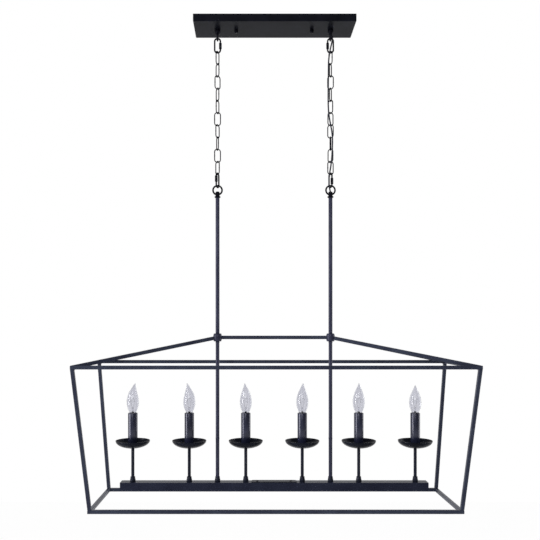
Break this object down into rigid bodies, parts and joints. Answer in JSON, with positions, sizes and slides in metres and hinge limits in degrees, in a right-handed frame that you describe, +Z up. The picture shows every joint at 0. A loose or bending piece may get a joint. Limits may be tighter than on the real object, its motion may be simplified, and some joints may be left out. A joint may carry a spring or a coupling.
{
  "type": "linear island pendant light",
  "caption": "Black linear pendant: canopy, two chains and an open tapered bar frame round a light bar with candle-style lamps.",
  "frame": {"origin": "middle of the crossbar's upper face, on the ceiling", "axes": "+X along the fixture to the right, +Y to the back, +Z up into the ceiling"},
  "size_m": [0.95, 0.3, 1.2049],
  "materials": {
    "black_metal": "satin",
    "zinc_plate": "satin",
    "brass": "satin",
    "candle_cover": "semi-gloss",
    "socket_body": "matte",
    "bulb_glass": "clear",
    "cord_jacket": "semi-gloss",
    "connector_plastic": "matte"
  },
  "bodies": {
    "ceiling": {"crossbar": "zinc_plate", "canopy_studs": "zinc_plate", "stud_nuts": "zinc_plate", "canopy": "black_metal", "canopy_loops": "black_metal", "loop_locknuts": "zinc_plate", "ground_screw": "brass", "wire_connectors": "connector_plastic", "canopy_lead": "cord_jacket"},
    "left_cap_nut": {"cap_nut_left": "black_metal"},
    "right_cap_nut": {"cap_nut_right": "black_metal"},
    "right_top_link": {"quick_link_top_right": "black_metal"},
    "right_top_sleeve": {"link_sleeve_top_right": "black_metal"},
    "right_chain": {"chain_right": "black_metal", "quick_link_bottom_right": "black_metal", "supply_cord": "cord_jacket"},
    "right_bottom_sleeve": {"link_sleeve_bottom_right": "black_metal"},
    "left_top_link": {"quick_link_top_left": "black_metal"},
    "left_top_sleeve": {"link_sleeve_top_left": "black_metal"},
    "left_chain": {"chain_left": "black_metal", "quick_link_bottom_left": "black_metal"},
    "left_bottom_sleeve": {"link_sleeve_bottom_left": "black_metal"},
    "cage": {"stem_loops": "black_metal", "upper_stems": "black_metal", "hubs": "black_metal", "lower_stems": "black_metal", "ridge_tube": "black_metal", "roof_bar_front_left": "black_metal", "roof_bar_front_right": "black_metal", "roof_bar_rear_left": "black_metal", "roof_bar_rear_right": "black_metal", "leg_front_left": "black_metal", "leg_front_right": "black_metal", "leg_rear_left": "black_metal", "leg_rear_right": "black_metal", "top_rail_front": "black_metal", "top_rail_rear": "black_metal", "top_rail_left": "black_metal", "top_rail_right": "black_metal", "bottom_rail_front": "black_metal", "bottom_rail_rear": "black_metal", "bottom_rail_left": "black_metal", "bottom_rail_right": "black_metal", "light_bar": "black_metal", "bar_end_caps": "black_metal", "wiring_cover": "black_metal", "cover_screws": "black_metal", "couplings": "black_metal", "candle_arms": "black_metal", "bobeches": "black_metal", "candle_sleeves": "candle_cover", "sockets": "socket_body", "bar_wiring": "cord_jacket", "bar_nuts": "zinc_plate"},
    "light_1": {"bulb_1": "bulb_glass"},
    "light_2": {"bulb_2": "bulb_glass"},
    "light_3": {"bulb_3": "bulb_glass"},
    "light_4": {"bulb_4": "bulb_glass"},
    "light_5": {"bulb_5": "bulb_glass"},
    "light_6": {"bulb_6": "bulb_glass"}
  },
  "joints": [
    {"name": "left_cap_nut_turn", "type": "hinge", "parent": "ceiling", "child": "left_cap_nut", "pos_m": [-0.095, 0, -0.0225], "axis": [0, 0, 1], "continuous": true},
    {"name": "right_cap_nut_turn", "type": "hinge", "parent": "ceiling", "child": "right_cap_nut", "pos_m": [0.095, 0, -0.0225], "axis": [0, 0, 1], "continuous": true},
    {"name": "front_swing", "type": "hinge", "parent": "ceiling", "child": "right_top_link", "pos_m": [0.142, 0, -0.0404], "axis": [1, 0, 0], "range_deg": [-25, 25], "deforming": ["supply_cord"]},
    {"name": "side_swing", "type": "hinge", "parent": "right_top_link", "child": "right_chain", "pos_m": [0.142, 0, -0.0713], "axis": [0, 1, 0], "range_deg": [-25, 25], "deforming": ["supply_cord"]},
    {"name": "cage_level", "type": "hinge", "parent": "right_chain", "child": "cage", "pos_m": [0.142, 0, -0.4166], "axis": [0, 1, 0], "range_deg": [-25, 25], "deforming": ["supply_cord"]},
    {"name": "left_front_swing", "type": "hinge", "parent": "ceiling", "child": "left_top_link", "pos_m": [-0.142, 0, -0.0404], "axis": [1, 0, 0], "range_deg": [-25, 25]},
    {"name": "left_side_swing", "type": "hinge", "parent": "left_top_link", "child": "left_chain", "pos_m": [-0.142, 0, -0.0713], "axis": [0, 1, 0], "range_deg": [-25, 25]},
    {"name": "right_top_sleeve_turn", "type": "hinge", "parent": "right_top_link", "child": "right_top_sleeve", "pos_m": [0.13485, 0, -0.05905], "axis": [0, 0, 1], "continuous": true},
    {"name": "left_top_sleeve_turn", "type": "hinge", "parent": "left_top_link", "child": "left_top_sleeve", "pos_m": [-0.13485, 0, -0.05905], "axis": [0, 0, 1], "continuous": true},
    {"name": "right_bottom_sleeve_turn", "type": "hinge", "parent": "right_chain", "child": "right_bottom_sleeve", "pos_m": [0.14491, -0.00653, -0.39975], "axis": [0, 0, 1], "continuous": true},
    {"name": "left_bottom_sleeve_turn", "type": "hinge", "parent": "left_chain", "child": "left_bottom_sleeve", "pos_m": [-0.14491, -0.00653, -0.39375], "axis": [0, 0, 1], "continuous": true},
    {"name": "bulb_1_lift", "type": "slide", "parent": "cage", "child": "light_1", "axis": [0, 0, 1], "range_m": [0, 0.05]},
    {"name": "bulb_2_lift", "type": "slide", "parent": "cage", "child": "light_2", "axis": [0, 0, 1], "range_m": [0, 0.05]},
    {"name": "bulb_3_lift", "type": "slide", "parent": "cage", "child": "light_3", "axis": [0, 0, 1], "range_m": [0, 0.05]},
    {"name": "bulb_4_lift", "type": "slide", "parent": "cage", "child": "light_4", "axis": [0, 0, 1], "range_m": [0, 0.05]},
    {"name": "bulb_5_lift", "type": "slide", "parent": "cage", "child": "light_5", "axis": [0, 0, 1], "range_m": [0, 0.05]},
    {"name": "bulb_6_lift", "type": "slide", "parent": "cage", "child": "light_6", "axis": [0, 0, 1], "range_m": [0, 0.05]}
  ],
  "couplings": [
    {"joint": "cage_level", "follows": "side_swing", "ratio": -1},
    {"joint": "left_front_swing", "follows": "front_swing", "ratio": 1},
    {"joint": "left_side_swing", "follows": "side_swing", "ratio": 1}
  ]
}
